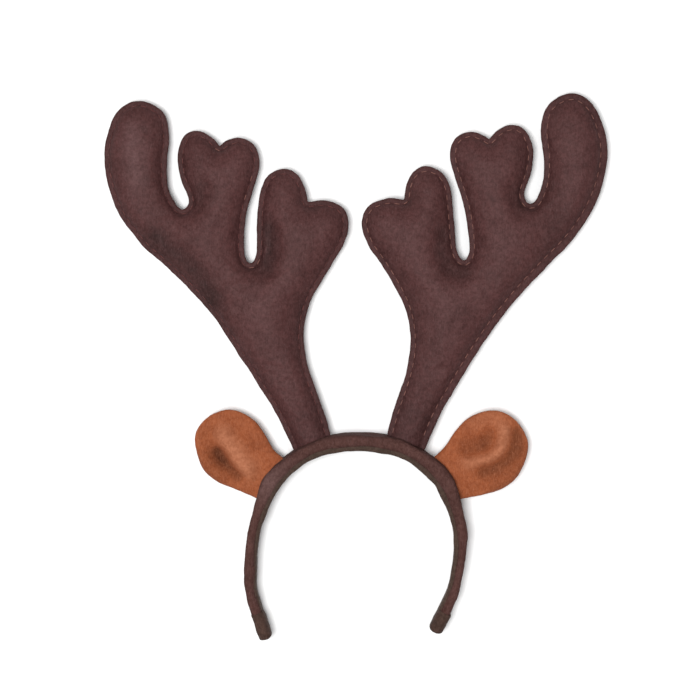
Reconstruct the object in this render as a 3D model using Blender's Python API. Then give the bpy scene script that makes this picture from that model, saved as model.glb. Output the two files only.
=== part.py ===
"""Reindeer antler headband: a padded arch with two stuffed felt antlers and two felt ears.

The headband lies on its back. X runs to the right of someone facing its front, Y from the arch's
open ends up to the antlers, and Z from its back to its front. The origin is on the flat back of the
arch, at the middle of its crown. Lengths are in metres.
"""

import math
from typing import NamedTuple

import bpy
import numpy as np
from mathutils import Vector
from mathutils.geometry import delaunay_2d_cdt

# The arch, measured along the middle of its thickness
ARCH_SPAN = 0.1325
ARCH_HEIGHT = 0.1220
CROWN_THICK = 0.0094
LEG_THICK = 0.0076
CROWN_DEPTH = 0.0240
END_DEPTH = 0.0130
ARCH_ROUNDING = 0.0022
LINING_THICK = 0.0020
LINING_MARGIN = 0.0008
LINING_ROUNDING = 0.0006

# The sleeves over its ends
LEFT_WRAP_LENGTH = 0.0165
RIGHT_WRAP_LENGTH = 0.0125
WRAP_THICK = 0.0011

# The antlers
ANTLER_WIDTH = 0.1530
ANTLER_HEIGHT = 0.2204
ANTLER_FOOT = 0.0232
ANTLER_BULGE = 0.0100
ANTLER_FULLNESS = 0.0120
LEAN_BACK = math.radians(0.6)
FELT_THICK = 0.0015
SEAM_MARGIN = 0.0032
STUFFING_MARGIN = 0.0087

# The ears
EAR_LENGTH = 0.0549
EAR_WIDTH = 0.0476
EAR_FOOT = 0.0285
EAR_RIM = 0.0028
EAR_BULGE = 0.0026
EAR_FULLNESS = 0.0100
EAR_STIFF_LENGTH = 0.0137

# Two pieces that touch keep this much between them
CLEARANCE = 0.0003

# How finely the curves and the felt are divided
ARCH_STEP = 0.0062
FELT_STEP = 0.0084
EAR_STEP = 0.0056
CORNER_STEPS = 3
CURVE_STEPS = 12
SHARP_EDGE = math.radians(50)


class Station(NamedTuple):
    """A place on the arch: shares of half its span and of its height, and 0 to 1 from leg or end to crown."""

    across: float
    up: float
    thick: float
    depth: float


STATIONS = (
    Station(-0.862, -1.024, 0.0, 0.00),
    Station(-0.905, -0.945, 0.0, 0.06),
    Station(-0.954, -0.867, 0.0, 0.15),
    Station(-1.006, -0.773, 0.0, 0.28),
    Station(-1.014, -0.680, 0.1, 0.42),
    Station(-1.011, -0.586, 0.1, 0.56),
    Station(-0.989, -0.492, 0.2, 0.70),
    Station(-0.951, -0.398, 0.3, 0.84),
    Station(-0.870, -0.289, 0.5, 1.00),
    Station(-0.766, -0.189, 0.7, 1.00),
    Station(-0.564, -0.084, 0.9, 1.00),
    Station(-0.331, -0.023, 1.0, 1.00),
    Station(0.013, 0.000, 1.0, 1.00),
    Station(0.358, -0.023, 1.0, 1.00),
    Station(0.591, -0.084, 0.9, 1.00),
    Station(0.791, -0.188, 0.7, 1.00),
    Station(0.892, -0.289, 0.5, 1.00),
    Station(0.964, -0.398, 0.3, 0.84),
    Station(0.990, -0.492, 0.2, 0.70),
    Station(0.988, -0.586, 0.1, 0.56),
    Station(0.964, -0.680, 0.1, 0.42),
    Station(0.915, -0.773, 0.0, 0.28),
    Station(0.837, -0.867, 0.0, 0.15),
    Station(0.738, -0.984, 0.0, 0.00),
)


class Stretch(NamedTuple):
    """Part of an outline: points as shares of width and height, and whether its last point is a corner."""

    corner: bool
    points: tuple


# The right antler's outline from the arch up its inner side, over its five tines and down its outer
# side: across in shares of its width, from the middle of its foot, and up in shares of its height
ANTLER_OUTLINE = {
    "inner side of the stem": Stretch(
        False, ((-0.049, 0.092), (0.007, 0.212), (0.024, 0.306), (-0.004, 0.400))
    ),
    "first tine": Stretch(
        True,
        (
            (-0.088, 0.503),
            (-0.150, 0.571),
            (-0.175, 0.634),
            (-0.152, 0.679),
            (-0.079, 0.699),
            (-0.007, 0.695),
        ),
    ),
    "second tine": Stretch(
        False,
        (
            (0.006, 0.742),
            (0.038, 0.779),
            (0.090, 0.794),
            (0.150, 0.777),
            (0.181, 0.737),
            (0.194, 0.674),
            (0.204, 0.577),
            (0.215, 0.537),
        ),
    ),
    "first notch": Stretch(False, ((0.238, 0.520), (0.259, 0.537))),
    "third tine": Stretch(
        True,
        (
            (0.263, 0.582),
            (0.244, 0.674),
            (0.200, 0.777),
            (0.187, 0.828),
            (0.205, 0.872),
            (0.263, 0.893),
            (0.318, 0.884),
            (0.345, 0.870),
        ),
    ),
    "fourth tine": Stretch(
        False,
        (
            (0.375, 0.893),
            (0.432, 0.912),
            (0.491, 0.898),
            (0.521, 0.840),
            (0.512, 0.777),
            (0.485, 0.717),
        ),
    ),
    "second notch": Stretch(False, ((0.494, 0.691), (0.516, 0.683), (0.541, 0.699))),
    "fifth tine": Stretch(
        False,
        (
            (0.567, 0.754),
            (0.570, 0.822),
            (0.559, 0.897),
            (0.585, 0.966),
            (0.685, 1.000),
            (0.774, 0.966),
            (0.821, 0.880),
            (0.824, 0.794),
            (0.781, 0.691),
        ),
    ),
    "outer side of the stem": Stretch(
        False,
        ((0.686, 0.588), (0.549, 0.486), (0.420, 0.383), (0.313, 0.280), (0.222, 0.177), (0.137, 0.074)),
    ),
}

# An ear's outline from the upper end of its foot round to the lower end: along the foot in shares of
# its width, and away from the arch in shares of its length
EAR_OUTLINE = {
    "upper edge": Stretch(False, ((0.355, 0.127), (0.433, 0.275), (0.505, 0.440))),
    "tip": Stretch(
        False,
        ((0.520, 0.555), (0.500, 0.700), (0.447, 0.810), (0.350, 0.900), (0.200, 0.975), (-0.013, 1.000)),
    ),
    "lower edge": Stretch(
        False,
        (
            (-0.170, 0.958),
            (-0.335, 0.815),
            (-0.433, 0.676),
            (-0.467, 0.532),
            (-0.455, 0.393),
            (-0.395, 0.190),
        ),
    ),
}


class Fold(NamedTuple):
    """A straight fold in an ear: its ends, half its breadth and how far it rises, as shares of the length."""

    along_from: float
    out_from: float
    along_to: float
    out_to: float
    breadth: float
    rise: float


class Ear(NamedTuple):
    """Where an ear sits along the arch, in shares of the span, its turn upwards, its size and its folds."""

    side: int
    along: float
    turn: float
    size: float
    folds: tuple


EARS = {
    "ear_left": Ear(
        -1,
        0.463,
        math.radians(3.0),
        0.965,
        (
            Fold(-0.03, 0.84, -0.16, 0.58, 0.11, -0.055),
            Fold(-0.16, 0.58, -0.17, 0.24, 0.11, -0.065),
            Fold(-0.34, 0.66, -0.36, 0.38, 0.10, 0.060),
            Fold(0.05, 0.58, 0.02, 0.42, 0.16, 0.050),
            Fold(0.30, 0.70, 0.22, 0.30, 0.13, -0.035),
        ),
    ),
    "ear_right": Ear(
        1,
        0.474,
        math.radians(-3.5),
        1.012,
        (
            Fold(0.10, 0.52, 0.10, 0.40, 0.14, -0.075),
            Fold(-0.04, 0.62, -0.08, 0.44, 0.09, 0.050),
            Fold(0.00, 0.84, -0.12, 0.76, 0.10, -0.050),
            Fold(-0.12, 0.76, -0.24, 0.50, 0.10, -0.055),
            Fold(-0.30, 0.70, -0.38, 0.40, 0.10, 0.050),
        ),
    ),
}


class Antler(NamedTuple):
    """Where an antler sits along the arch, in shares of the span, its lean out and its share of full size."""

    side: int
    along: float
    lean_out: float
    size: float


ANTLERS = {
    "antler_left": Antler(-1, 0.209, math.radians(1.4), 0.988),
    "antler_right": Antler(1, 0.225, 0.0, 1.0),
}


class Finish(NamedTuple):
    """The look of a material."""

    colour: tuple
    roughness: float


ARCH_FELT = Finish((0.075, 0.036, 0.034), 0.95)
ANTLER_FELT = Finish((0.062, 0.030, 0.029), 0.95)
LINING_CLOTH = Finish((0.180, 0.120, 0.105), 0.85)
WRAP_CLOTH = Finish((0.120, 0.090, 0.082), 0.80)
EAR_FELT = Finish((0.450, 0.130, 0.055), 0.90)
WADDING = Finish((0.800, 0.790, 0.760), 1.00)


def lengths_along(points):
    """How far along the line each point lies."""
    steps = np.linalg.norm(np.diff(points, axis=0), axis=1)
    return np.concatenate([[0.0], np.cumsum(steps)])


def smooth_line(points, step):
    """A Catmull-Rom curve through the points, cut into even steps of about this length."""
    points = np.asarray(points, float)
    padded = np.vstack([2 * points[0] - points[1], points, 2 * points[-1] - points[-2]])
    fine = [points[0]]
    for a, b, c, d in zip(padded, padded[1:], padded[2:], padded[3:]):
        square = 2 * a - 5 * b + 4 * c - d
        cube = 3 * b - a - 3 * c + d
        for t in np.linspace(0, 1, CURVE_STEPS + 1)[1:]:
            fine.append((2 * b + (c - a) * t + square * t**2 + cube * t**3) / 2)
    fine = np.array(fine)
    place = lengths_along(fine)
    count = max(1, round(place[-1] / step))
    even = np.linspace(0, place[-1], count + 1)
    return np.column_stack([np.interp(even, place, column) for column in fine.T])


class Arch:
    """The arch's middle line and section at any distance along it from the middle of the crown."""

    def __init__(self):
        scale = np.array([ARCH_SPAN / 2, ARCH_HEIGHT])
        rows = np.array(STATIONS)
        # The lining is inside the arch, so this puts the middle of the padded band itself on Y = 0
        spots = rows[:, :2] * scale - (0.0, (LINING_THICK + CLEARANCE) / 2)
        self.line = smooth_line(spots, ARCH_STEP / 8)
        place = lengths_along(self.line)
        crown = place[np.argmin(np.hypot(*self.line.T))]
        self.place = place - crown
        self.start = self.place[0]
        self.end = self.place[-1]
        nearest = [np.argmin(np.linalg.norm(self.line - spot, axis=1)) for spot in spots]
        self.rows_at = self.place[nearest]
        self.shares = rows[:, 2:]

    def point(self, along):
        return np.array([np.interp(along, self.place, column) for column in self.line.T])

    def outward(self, along):
        """The direction away from the head, square to the arch."""
        reach = ARCH_STEP / 2
        ahead = self.point(min(along + reach, self.end)) - self.point(max(along - reach, self.start))
        ahead /= np.linalg.norm(ahead)
        return np.array([-ahead[1], ahead[0]])

    def thick(self, along):
        share = np.interp(along, self.rows_at, self.shares[:, 0])
        return LEG_THICK + (CROWN_THICK - LEG_THICK) * share

    def depth(self, along):
        share = np.interp(along, self.rows_at, self.shares[:, 1])
        return END_DEPTH + (CROWN_DEPTH - END_DEPTH) * share

    def outer(self, along):
        """A point just clear of the arch's outer face."""
        return self.point(along) + self.outward(along) * (self.thick(along) / 2 + CLEARANCE)

    def ring(self, along, low, high, depth, rounding):
        """A rounded section: from low to high across the thickness, and this deep about the middle."""
        centre = self.point(along)
        outward = self.outward(along)
        # A little flat is left between two corners, however thin the section is
        rounding = min(rounding, 0.49 * (high - low), 0.49 * depth)
        half_x = (high - low) / 2 - rounding
        half_z = depth / 2 - rounding
        points = []
        for corner, (sign_x, sign_z) in enumerate(((1, 1), (-1, 1), (-1, -1), (1, -1))):
            for angle in np.linspace(0, math.pi / 2, CORNER_STEPS + 1) + corner * math.pi / 2:
                x = (low + high) / 2 + sign_x * half_x + rounding * math.cos(angle)
                z = CROWN_DEPTH / 2 + sign_z * half_z + rounding * math.sin(angle)
                points.append((*(centre + outward * x), z))
        return np.array(points)


def make_object(name, points, faces, finish):
    """A mesh object with its own material, its faces turned outwards."""
    mesh = bpy.data.meshes.new(name)
    mesh.from_pydata([tuple(point) for point in points], [], faces)
    corners = np.array([(face[0], b, c) for face in faces for b, c in zip(face[1:], face[2:])])
    if np.linalg.det(np.asarray(points)[corners]).sum() < 0:
        mesh.flip_normals()
    mesh.validate()
    mesh.shade_smooth()
    mesh.set_sharp_from_angle(angle=SHARP_EDGE)
    material = bpy.data.materials.new(name)
    material.use_nodes = True
    shader = material.node_tree.nodes["Principled BSDF"]
    shader.inputs["Base Color"].default_value = (*finish.colour, 1.0)
    shader.inputs["Roughness"].default_value = finish.roughness
    shader.inputs["Metallic"].default_value = 0.0
    mesh.materials.append(material)
    made = bpy.data.objects.new(name, mesh)
    bpy.context.collection.objects.link(made)
    return made


def loft(name, rings, finish):
    """A solid through rings of equal count, closed flat at both ends."""
    count = len(rings[0])
    faces = [tuple(range(count))]
    for level in range(len(rings) - 1):
        start = level * count
        for i in range(count):
            j = (i + 1) % count
            faces.append((start + j, start + i, start + count + i, start + count + j))
    last = (len(rings) - 1) * count
    faces.append(tuple(last + i for i in reversed(range(count))))
    return make_object(name, np.vstack(rings), faces, finish)


def slab(name, flat, triangles, low, high, finish):
    """A solid between two heights over flat triangles, walled round their edge."""
    used = np.unique(triangles)
    index = np.full(len(flat), -1)
    index[used] = np.arange(len(used))
    triangles = index[triangles]
    count = len(used)
    points = np.vstack(
        [np.column_stack([flat[used], high[used]]), np.column_stack([flat[used], low[used]])]
    )
    faces = [tuple(face) for face in triangles]
    faces += [tuple(face[::-1] + count) for face in triangles]
    sides = {(a, b) for face in triangles for a, b in zip(face, np.roll(face, -1))}
    for a, b in sorted(sides):
        if (b, a) not in sides:
            faces.append((b, a, a + count, b + count))
    return make_object(name, points, faces, finish)


def build_arch(arch):
    """The padded arch, set back inside to leave room for its lining."""
    rings = []
    for along in np.linspace(arch.start, arch.end, round((arch.end - arch.start) / ARCH_STEP) + 1):
        half = arch.thick(along) / 2
        low = -half + LINING_THICK + CLEARANCE
        rings.append(arch.ring(along, low, half, arch.depth(along), ARCH_ROUNDING))
    return loft("headband", rings, ARCH_FELT)


def build_lining(arch):
    """The strip inside the arch, from one end wrap to the other."""
    start = arch.start + LEFT_WRAP_LENGTH + CLEARANCE
    end = arch.end - RIGHT_WRAP_LENGTH - CLEARANCE
    rings = []
    for along in np.linspace(start, end, round((end - start) / ARCH_STEP) + 1):
        low = -arch.thick(along) / 2
        depth = arch.depth(along) - 2 * LINING_MARGIN
        rings.append(arch.ring(along, low, low + LINING_THICK, depth, LINING_ROUNDING))
    return loft("band_lining", rings, LINING_CLOTH)


def build_wrap(arch, name, tip, length):
    """A cup over one end of the arch: up its hollow from the end, round the rim and back outside."""
    inward = 1 if tip == arch.start else -1
    mouth = tip + inward * length
    beyond = arch.outward(tip)
    away = np.array([beyond[1], -beyond[0]]) * -inward

    def ring(along, spread, past):
        half = arch.thick(along) / 2
        low = -half + LINING_THICK + CLEARANCE - spread
        depth = arch.depth(along) + 2 * spread
        section = arch.ring(along, low, half + spread, depth, ARCH_ROUNDING + spread)
        section[:, :2] += away * past
        return section

    spots = np.linspace(tip, mouth, 4)
    wall = CLEARANCE + WRAP_THICK
    rings = [ring(tip, CLEARANCE, CLEARANCE)]
    rings += [ring(along, CLEARANCE, 0.0) for along in spots[1:]]
    rings += [ring(along, wall, 0.0) for along in spots[::-1]]
    # The end is rounded over in two steps
    rings.append(ring(tip, CLEARANCE + WRAP_THICK / 2, CLEARANCE + WRAP_THICK / 2))
    rings.append(ring(tip, CLEARANCE - WRAP_THICK / 2, wall))
    if inward < 0:
        rings = [section[::-1] for section in rings]
    return loft(name, rings, WRAP_CLOTH)


def outline(stretches, first, last, place, step):
    """The outline's points from first to last, with each stretch's shares turned into places."""
    runs = [[first]]
    for stretch in stretches.values():
        runs[-1] += [place(across, up) for across, up in stretch.points]
        if stretch.corner:
            runs.append([runs[-1][-1]])
    runs[-1].append(last)
    lines = [smooth_line(run, step) for run in runs]
    return np.vstack([lines[0]] + [line[1:] for line in lines[1:]])


def inward_normals(line, inside_left):
    """The direction into the shape at each point but the ends."""
    ahead = line[2:] - line[:-2]
    ahead /= np.linalg.norm(ahead, axis=1)[:, None]
    left = np.column_stack([-ahead[:, 1], ahead[:, 0]])
    return left if inside_left else -left


def distance_to(points, line):
    """How far each point lies from the nearest part of the line."""
    start = line[:-1]
    run = line[1:] - start
    from_start = points[:, None] - start
    share = np.clip((from_start * run).sum(2) / (run**2).sum(1), 0, 1)
    return np.linalg.norm(from_start - share[..., None] * run, axis=2).min(1)


def inside(points, ring):
    """Whether each point lies in the closed ring."""
    after = np.roll(ring, -1, axis=0)
    x, y = points[:, :1], points[:, 1:]
    spans = (ring[:, 1] > y) != (after[:, 1] > y)
    rise = np.where(after[:, 1] == ring[:, 1], 1.0, after[:, 1] - ring[:, 1])
    crossing = ring[:, 0] + (y - ring[:, 1]) / rise * (after[:, 0] - ring[:, 0])
    return (spans & (x < crossing)).sum(1) % 2 == 1


class Pattern:
    """A flat piece cut to an outline, in triangles, with rows of points beside its sewn edge."""

    # A row's points stay this share of its depth from the edge, where the outline turns sharply
    LEAST_DEPTH = 0.88
    # These are shares of the step: the least space along a row, between the grid and the innermost
    # row, and between any point and the foot, and the spacing of the grid
    ROW_SPACE = 0.5
    GRID_TO_ROW = 0.6
    FOOT_SPACE = 0.4
    GRID_SPACE = 1.12

    def __init__(self, edge, base, insets, step):
        """edge runs round the sewn sides, base back along the foot, and insets are the rows' depths."""
        ring = np.vstack([edge, base[1:-1]])
        area = (ring[:, 0] * np.roll(ring[:, 1], -1) - np.roll(ring[:, 0], -1) * ring[:, 1]).sum()
        normals = inward_normals(edge, area > 0)
        from_corner = lengths_along(base)
        from_corner = np.minimum(from_corner, from_corner[-1] - from_corner)
        depths = [np.zeros(len(edge)), from_corner[1:-1]]
        groups = [ring]
        links = [(i, (i + 1) % len(ring)) for i in range(len(ring))]
        for depth in insets:
            row = edge[1:-1] + normals * depth
            clear = distance_to(row, edge) > self.LEAST_DEPTH * depth
            clear &= distance_to(row, base) > self.FOOT_SPACE * step
            kept = []
            for point in row[clear & inside(row, ring)]:
                if not kept or np.linalg.norm(point - kept[-1]) > self.ROW_SPACE * step:
                    kept.append(point)
            foot = np.flatnonzero(np.isclose(from_corner, depth, atol=0.1 * depth))
            row = np.vstack([base[foot[-1]], *kept, base[foot[0]]])
            start = sum(map(len, groups))
            links += [(start + i, start + i + 1) for i in range(len(row) - 1)]
            groups.append(row)
            depths.append(np.full(len(row), depth))
        grid = self.grid(ring, step)
        clear = distance_to(grid, groups[-1]) > self.GRID_TO_ROW * step
        clear &= distance_to(grid, base) > self.FOOT_SPACE * step
        groups.append(grid[clear & inside(grid, groups[-1])])
        depths.append(np.full(len(groups[-1]), math.inf))
        depths = np.concatenate(depths)
        points = np.vstack(groups)
        found = delaunay_2d_cdt([Vector(1000 * point) for point in points], links, [], 1, 1e-4)
        self.points = np.array([tuple(point) for point in found[0]]) / 1000
        self.triangles = np.array([tuple(face) for face in found[2]])
        self.depth = np.array([depths[places].max() for places in found[3]])

    def grid(self, ring, step):
        """Points in even triangles over the whole of the ring's box."""
        low, high = ring.min(0), ring.max(0)
        pitch = self.GRID_SPACE * step
        rows = np.arange(low[1], high[1], pitch * math.sqrt(0.75))
        shifts = [pitch / 2 * (number % 2) for number in range(len(rows))]
        return np.array(
            [(x, y) for y, shift in zip(rows, shifts) for x in np.arange(low[0] + shift, high[0], pitch)]
        )

    def swell(self, margin, fullness):
        """How far wadding lifts each point, 0 to 1: a skin held at the seam and pushed up evenly."""
        fixed = self.depth < 1.05 * margin + CLEARANCE / 10
        count = len(self.points)
        stiff = np.zeros((count, count))
        load = np.zeros(count)
        for face in self.triangles:
            a, b, c = self.points[face]
            sides = np.array([c - b, a - c, b - a])
            area = abs(np.cross(sides[0], sides[1])) / 2
            stiff[np.ix_(face, face)] += sides @ sides.T / (4 * area)
            load[face] += area / 3
        stiff += np.diag(load / fullness**2)
        free = np.flatnonzero(~fixed)
        lift = np.zeros(count)
        lift[free] = np.linalg.solve(stiff[np.ix_(free, free)], load[free])
        return np.sqrt(lift / lift.max())

    def deeper_than(self, depth):
        """The triangles wholly at least this far in from the sewn edge."""
        deep = self.depth > 0.95 * depth
        return self.triangles[deep[self.triangles].all(axis=1)]


def foot_line(arch, side, middle, width, marks):
    """Points along the arch from a foot's outer corner to its inner one, with marks in from each."""
    half = width / 2
    count = max(2, round((width - 2 * marks[-1]) / (FELT_STEP / 2)))
    places = [0.0, *marks, *np.linspace(marks[-1], width - marks[-1], count + 1)[1:-1]]
    places += [width - mark for mark in reversed(marks)] + [width]
    return np.array([arch.outer(side * (middle + half - place)) for place in places])


def build_antler(arch, name, antler):
    """Two felt panels sewn near their raw edge, and the wadding between them."""
    marks = (SEAM_MARGIN, STUFFING_MARGIN)
    along = antler.along * ARCH_SPAN
    base = foot_line(arch, antler.side, along, ANTLER_FOOT, marks)
    middle = arch.outer(antler.side * along)
    turn_x, turn_y = math.cos(antler.lean_out), math.sin(antler.lean_out)

    def place(across, up):
        x = across * ANTLER_WIDTH * antler.size
        y = up * ANTLER_HEIGHT * antler.size
        return middle + np.array([antler.side * (x * turn_x + y * turn_y), y * turn_x - x * turn_y])

    edge = outline(ANTLER_OUTLINE, base[-1], base[0], place, FELT_STEP)
    pattern = Pattern(edge, base, marks, FELT_STEP)
    flat = pattern.points
    lift = ANTLER_BULGE * pattern.swell(SEAM_MARGIN, ANTLER_FULLNESS)
    seam = CROWN_DEPTH / 2 - math.tan(LEAN_BACK) * (flat[:, 1] - middle[1])

    front = seam + CLEARANCE / 2 + lift
    back = np.maximum(seam - CLEARANCE / 2 - lift - FELT_THICK, 0.0)
    slab(name + "_front", flat, pattern.triangles, front, front + FELT_THICK, ANTLER_FELT)
    slab(name + "_back", flat, pattern.triangles, back, back + FELT_THICK, ANTLER_FELT)
    low = back + FELT_THICK + CLEARANCE
    slab(name + "_stuffing", flat, pattern.deeper_than(STUFFING_MARGIN), low, front - CLEARANCE, WADDING)


def fold_rise(points, ends, fold):
    """How far a fold lifts each point, fading smoothly from its line."""
    away = distance_to(points, ends)
    return fold.rise * EAR_LENGTH * np.exp(-((away / (fold.breadth * EAR_LENGTH)) ** 2))


def build_ear(arch, name, ear):
    """A turned and lightly padded felt ear, its folds showing on both faces."""
    along = ear.along * ARCH_SPAN
    base = foot_line(arch, ear.side, along, EAR_FOOT, (EAR_STEP / 2,))
    middle = arch.outer(ear.side * along)
    outward = arch.outward(ear.side * along)
    up = np.array([-outward[1], outward[0]]) * ear.side
    turn_x, turn_y = math.cos(ear.turn), math.sin(ear.turn)

    def place(across, out):
        x = across * EAR_WIDTH * ear.size
        y = out * EAR_LENGTH * ear.size
        return middle + up * (x * turn_x + y * turn_y) + outward * (y * turn_x - x * turn_y)

    edge = outline(EAR_OUTLINE, base[-1], base[0], place, EAR_STEP)
    pattern = Pattern(edge, base, (EAR_STEP / 2,), EAR_STEP)
    flat = pattern.points
    half = EAR_RIM / 2 + EAR_BULGE * pattern.swell(0.0, EAR_FULLNESS)
    centre = np.full(len(flat), CROWN_DEPTH / 2)
    loose = np.minimum(distance_to(flat, base) / EAR_STIFF_LENGTH, 1.0)
    for fold in ear.folds:
        ends = np.array([place(fold.along_from, fold.out_from), place(fold.along_to, fold.out_to)])
        centre += loose * fold_rise(flat, ends, fold)
    slab(name, flat, pattern.triangles, centre - half, centre + half, EAR_FELT)


for old in list(bpy.data.objects):
    bpy.data.objects.remove(old, do_unlink=True)

headband_arch = Arch()
build_arch(headband_arch)
build_lining(headband_arch)
build_wrap(headband_arch, "end_wrap_left", headband_arch.start, LEFT_WRAP_LENGTH)
build_wrap(headband_arch, "end_wrap_right", headband_arch.end, RIGHT_WRAP_LENGTH)
for antler_name, antler_place in ANTLERS.items():
    build_antler(headband_arch, antler_name, antler_place)
for ear_name, ear_place in EARS.items():
    build_ear(headband_arch, ear_name, ear_place)
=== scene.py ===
"""Reindeer antler headband, dressed over its solids: felt, stuffing, raw edges, stitches and turned ears.

Lengths are in metres, in the frame of the solids. X runs to the right of its front, Y from the arch's
open ends up to the antlers, and Z from the back it lies on up to its front.
"""

import math
from typing import NamedTuple

import bpy
import numpy as np
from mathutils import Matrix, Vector, noise
from mathutils.bvhtree import BVHTree
from mathutils.geometry import delaunay_2d_cdt


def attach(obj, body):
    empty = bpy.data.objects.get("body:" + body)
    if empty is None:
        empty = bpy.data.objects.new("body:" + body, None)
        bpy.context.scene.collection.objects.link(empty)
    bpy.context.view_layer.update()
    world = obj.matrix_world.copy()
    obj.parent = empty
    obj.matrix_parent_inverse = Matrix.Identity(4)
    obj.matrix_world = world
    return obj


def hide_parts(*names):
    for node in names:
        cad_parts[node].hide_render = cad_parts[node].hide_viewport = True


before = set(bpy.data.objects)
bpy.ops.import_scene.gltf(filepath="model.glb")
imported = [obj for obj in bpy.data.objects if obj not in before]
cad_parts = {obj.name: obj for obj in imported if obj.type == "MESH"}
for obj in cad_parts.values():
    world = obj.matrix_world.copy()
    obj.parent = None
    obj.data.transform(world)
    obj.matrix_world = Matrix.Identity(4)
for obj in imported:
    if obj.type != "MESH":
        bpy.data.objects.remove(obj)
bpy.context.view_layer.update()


# The arch cover. A springy strip is padded and wrapped in brown felt, drawn tight round its front, its
# outer face and its back, and glued down inside. It narrows towards its open ends.
ARCH_SPAN = 0.1325
ARCH_HEIGHT = 0.1220
CROWN_THICK = 0.0094
LEG_THICK = 0.0076
CROWN_DEPTH = 0.0240
END_DEPTH = 0.0130
LINING_THICK = 0.0020
CLEARANCE = 0.0003
COVER_ROUNDING = 0.0027
COVER_NAP = 0.0002
SHOULDER_FULL = 0.0022
SHOULDER_AT = 0.0610
SHOULDER_REACH = 0.0150
SHOULDER_HIGHLIGHT = 0.6
COVER_CROWN = 0.0003
COVER_STEP = 0.0016
COVER_POINTS = 44
CURVE_STEPS = 12


class Station(NamedTuple):
    """A place on the arch: shares of half its span and of its height, and of the crown's extra size."""

    across: float
    up: float
    thick: float
    depth: float


STATIONS = (
    Station(-0.868, -1.024, 0.0, 0.00),
    Station(-0.914, -0.945, 0.0, 0.06),
    Station(-0.967, -0.867, 0.0, 0.15),
    Station(-1.014, -0.773, 0.0, 0.28),
    Station(-1.014, -0.680, 0.1, 0.42),
    Station(-1.011, -0.586, 0.1, 0.56),
    Station(-0.989, -0.492, 0.2, 0.70),
    Station(-0.951, -0.398, 0.3, 0.84),
    Station(-0.870, -0.289, 0.5, 1.00),
    Station(-0.766, -0.189, 0.7, 1.00),
    Station(-0.564, -0.084, 0.9, 1.00),
    Station(-0.331, -0.023, 1.0, 1.00),
    Station(0.013, 0.000, 1.0, 1.00),
    Station(0.358, -0.023, 1.0, 1.00),
    Station(0.591, -0.084, 0.9, 1.00),
    Station(0.791, -0.188, 0.7, 1.00),
    Station(0.892, -0.289, 0.5, 1.00),
    Station(0.964, -0.398, 0.3, 0.84),
    Station(0.990, -0.492, 0.2, 0.70),
    Station(0.988, -0.586, 0.1, 0.56),
    Station(0.964, -0.680, 0.1, 0.42),
    Station(0.928, -0.773, 0.0, 0.28),
    Station(0.856, -0.867, 0.0, 0.15),
    Station(0.744, -0.984, 0.0, 0.00),
)


def lengths_along(points):
    """How far along the line each point lies."""
    steps = np.linalg.norm(np.diff(points, axis=0), axis=1)
    return np.concatenate([[0.0], np.cumsum(steps)])


def even_line(points, count):
    """The line cut into this many equal steps."""
    place = lengths_along(points)
    even = np.linspace(0, place[-1], count + 1)
    return np.column_stack([np.interp(even, place, column) for column in points.T])


def smooth_line(points, step):
    """A Catmull-Rom curve through the points, cut into even steps of about this length."""
    points = np.asarray(points, float)
    padded = np.vstack([2 * points[0] - points[1], points, 2 * points[-1] - points[-2]])
    fine = [points[0]]
    for a, b, c, d in zip(padded, padded[1:], padded[2:], padded[3:]):
        square = 2 * a - 5 * b + 4 * c - d
        cube = 3 * b - a - 3 * c + d
        for t in np.linspace(0, 1, CURVE_STEPS + 1)[1:]:
            fine.append((2 * b + (c - a) * t + square * t**2 + cube * t**3) / 2)
    fine = np.array(fine)
    return even_line(fine, max(1, round(lengths_along(fine)[-1] / step)))


class Arch:
    """The arch's middle line and its section at any distance along it from the middle of the crown."""

    def __init__(self):
        scale = np.array([ARCH_SPAN / 2, ARCH_HEIGHT])
        rows = np.array(STATIONS)
        spots = rows[:, :2] * scale - (0.0, (LINING_THICK + CLEARANCE) / 2)
        self.line = smooth_line(spots, COVER_STEP / 2)
        place = lengths_along(self.line)
        self.place = place - place[np.argmin(np.hypot(*self.line.T))]
        self.start = self.place[0]
        self.end = self.place[-1]
        nearest = [np.argmin(np.linalg.norm(self.line - spot, axis=1)) for spot in spots]
        self.rows_at = self.place[nearest]
        self.shares = rows[:, 2:]

    def point(self, along):
        return np.array([np.interp(along, self.place, column) for column in self.line.T])

    def outward(self, along):
        """The direction away from the head, square to the arch."""
        reach = 2 * COVER_STEP
        ahead = self.point(min(along + reach, self.end)) - self.point(max(along - reach, self.start))
        ahead /= np.linalg.norm(ahead)
        return np.array([-ahead[1], ahead[0]])

    def thick(self, along):
        share = np.interp(along, self.rows_at, self.shares[:, 0])
        return LEG_THICK + (CROWN_THICK - LEG_THICK) * share

    def depth(self, along):
        share = np.interp(along, self.rows_at, self.shares[:, 1])
        return END_DEPTH + (CROWN_DEPTH - END_DEPTH) * share

    def outer(self, along, clear=CLEARANCE):
        """A point this far outside the arch's outer face."""
        return self.point(along) + self.outward(along) * (self.thick(along) / 2 + clear)

    def inner_face(self, along):
        """How far out from the middle line the face under the lining lies."""
        return LINING_THICK + CLEARANCE - self.thick(along) / 2

    def stand(self, along, flat):
        """Points of a section, given as across the thickness and from mid-depth, stood up in place."""
        outline = self.point(along) + flat[:, :1] * self.outward(along)
        return np.column_stack([outline, CROWN_DEPTH / 2 + flat[:, 1]])


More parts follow.
